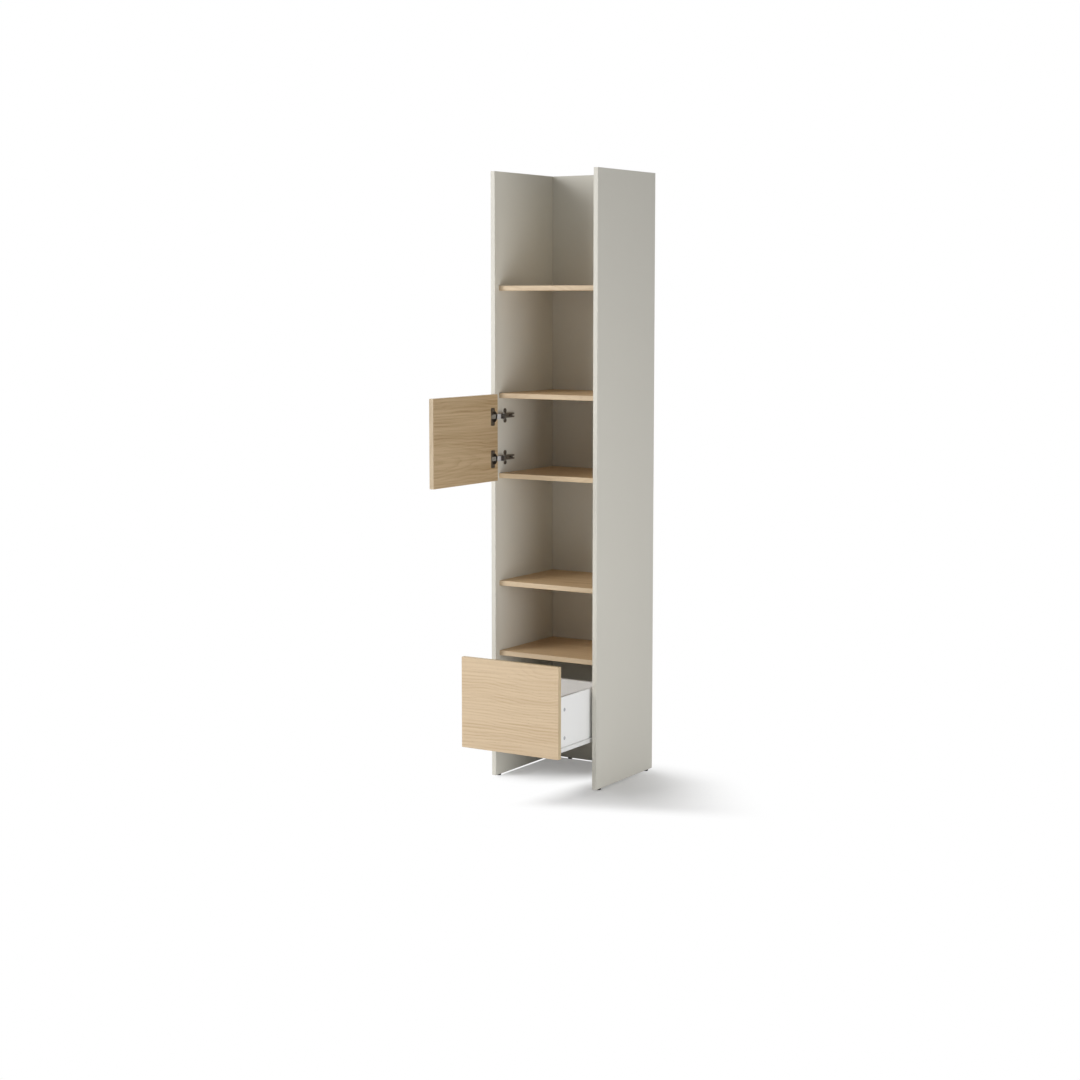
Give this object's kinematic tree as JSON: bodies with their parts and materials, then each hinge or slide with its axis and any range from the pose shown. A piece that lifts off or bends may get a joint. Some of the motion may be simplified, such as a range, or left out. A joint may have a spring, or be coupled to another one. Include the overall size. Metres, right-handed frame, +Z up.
{
  "type": "tall storage cabinet",
  "caption": "Tall narrow open storage cabinet with set-back oak shelves, a small side-hung door between two of them and a drawer on roller runners below.",
  "frame": {"origin": "on the floor, midway between the side panels, in the plane of the closed fronts, which is also the middle of the box over the opened door and the back panel", "axes": "+X to the right as seen from the front, +Y to the back, +Z up"},
  "size_m": [0.4, 0.74, 1.98],
  "materials": {
    "greige_board": "matt laminate",
    "oak_board": "matt oak, grain across the width",
    "white_board": "matt white laminate",
    "zinc": "die-cast zinc, satin",
    "bright_steel": "nickel plated",
    "dark_nickel": "dark nickel plated",
    "runner_enamel": "white enamel",
    "roller_nylon": "natural nylon",
    "black_plastic": "matt black"
  },
  "bodies": {
    "cabinet": {"left_side_panel": "greige_board", "right_side_panel": "greige_board", "back_panel": "greige_board", "shelf_1": "oak_board", "shelf_2": "oak_board", "shelf_3": "oak_board", "shelf_4": "oak_board", "shelf_5": "oak_board", "shelf_cams": "zinc", "back_panel_cams": "zinc", "shelf_cam_bolts": "bright_steel", "back_panel_cam_bolts": "bright_steel", "hinge_link_pins": "bright_steel", "hinge_plate_screws": "bright_steel", "hinge_adjusting_screws": "bright_steel", "front_roller_axles": "bright_steel", "cabinet_rail_screws": "bright_steel", "upper_hinge_plate": "dark_nickel", "lower_hinge_plate": "dark_nickel", "upper_hinge_arm": "dark_nickel", "lower_hinge_arm": "dark_nickel", "left_cabinet_rail": "runner_enamel", "right_cabinet_rail": "runner_enamel", "side_panel_glides": "black_plastic", "back_panel_glides": "black_plastic"},
    "door": {"door_panel": "oak_board", "upper_hinge_cup": "dark_nickel", "lower_hinge_cup": "dark_nickel", "upper_hinge_inner_link": "bright_steel", "lower_hinge_inner_link": "bright_steel", "hinge_cup_screws": "bright_steel"},
    "upper_hinge_link": {"upper_hinge_outer_link": "bright_steel"},
    "lower_hinge_link": {"lower_hinge_outer_link": "bright_steel"},
    "drawer": {"drawer_front": "oak_board", "drawer_left_side": "white_board", "drawer_right_side": "white_board", "drawer_back": "white_board", "drawer_bottom": "white_board", "drawer_front_cams": "zinc", "drawer_front_cam_bolts": "bright_steel", "drawer_back_screws": "bright_steel", "left_drawer_rail": "runner_enamel", "right_drawer_rail": "runner_enamel", "drawer_rail_screws": "bright_steel", "rear_roller_axles": "bright_steel"},
    "left_front_roller": {"left_front_roller": "roller_nylon"},
    "right_front_roller": {"right_front_roller": "roller_nylon"},
    "left_rear_roller": {"left_rear_roller": "roller_nylon"},
    "right_rear_roller": {"right_rear_roller": "roller_nylon"}
  },
  "joints": [
    {"name": "door_hinge", "type": "hinge", "parent": "cabinet", "child": "door", "pos_m": [-0.187, -0.001, 1.1255], "axis": [0, 0, 1], "range_deg": [0, 90]},
    {"name": "drawer_slide", "type": "slide", "parent": "cabinet", "child": "drawer", "axis": [0, -1, 0], "range_m": [-0.203, 0.022]},
    {"name": "upper_hinge_link_pivot", "type": "hinge", "parent": "cabinet", "child": "upper_hinge_link", "pos_m": [-0.165, 0.02, 1.194], "axis": [0, 0, 1], "range_deg": [-0.5, 97]},
    {"name": "lower_hinge_link_pivot", "type": "hinge", "parent": "cabinet", "child": "lower_hinge_link", "pos_m": [-0.165, 0.02, 1.057], "axis": [0, 0, 1], "range_deg": [-0.5, 97]},
    {"name": "left_front_roller_spin", "type": "hinge", "parent": "cabinet", "child": "left_front_roller", "pos_m": [-0.1784, 0.029, 0.16095], "axis": [1, 0, 0], "continuous": true},
    {"name": "left_rear_roller_spin", "type": "hinge", "parent": "drawer", "child": "left_rear_roller", "pos_m": [-0.1771, 0.101, 0.16095], "axis": [1, 0, 0], "continuous": true},
    {"name": "right_front_roller_spin", "type": "hinge", "parent": "cabinet", "child": "right_front_roller", "pos_m": [0.1784, 0.029, 0.16095], "axis": [1, 0, 0], "continuous": true},
    {"name": "right_rear_roller_spin", "type": "hinge", "parent": "drawer", "child": "right_rear_roller", "pos_m": [0.1771, 0.101, 0.16095], "axis": [1, 0, 0], "continuous": true}
  ],
  "couplings": [
    {"joint": "upper_hinge_link_pivot", "follows": "door_hinge", "ratio": 1.072},
    {"joint": "lower_hinge_link_pivot", "follows": "door_hinge", "ratio": 1.072},
    {"joint": "left_front_roller_spin", "follows": "drawer_slide", "rad_per_m": 100},
    {"joint": "left_rear_roller_spin", "follows": "drawer_slide", "rad_per_m": 100},
    {"joint": "right_front_roller_spin", "follows": "drawer_slide", "rad_per_m": 100},
    {"joint": "right_rear_roller_spin", "follows": "drawer_slide", "rad_per_m": 100}
  ]
}
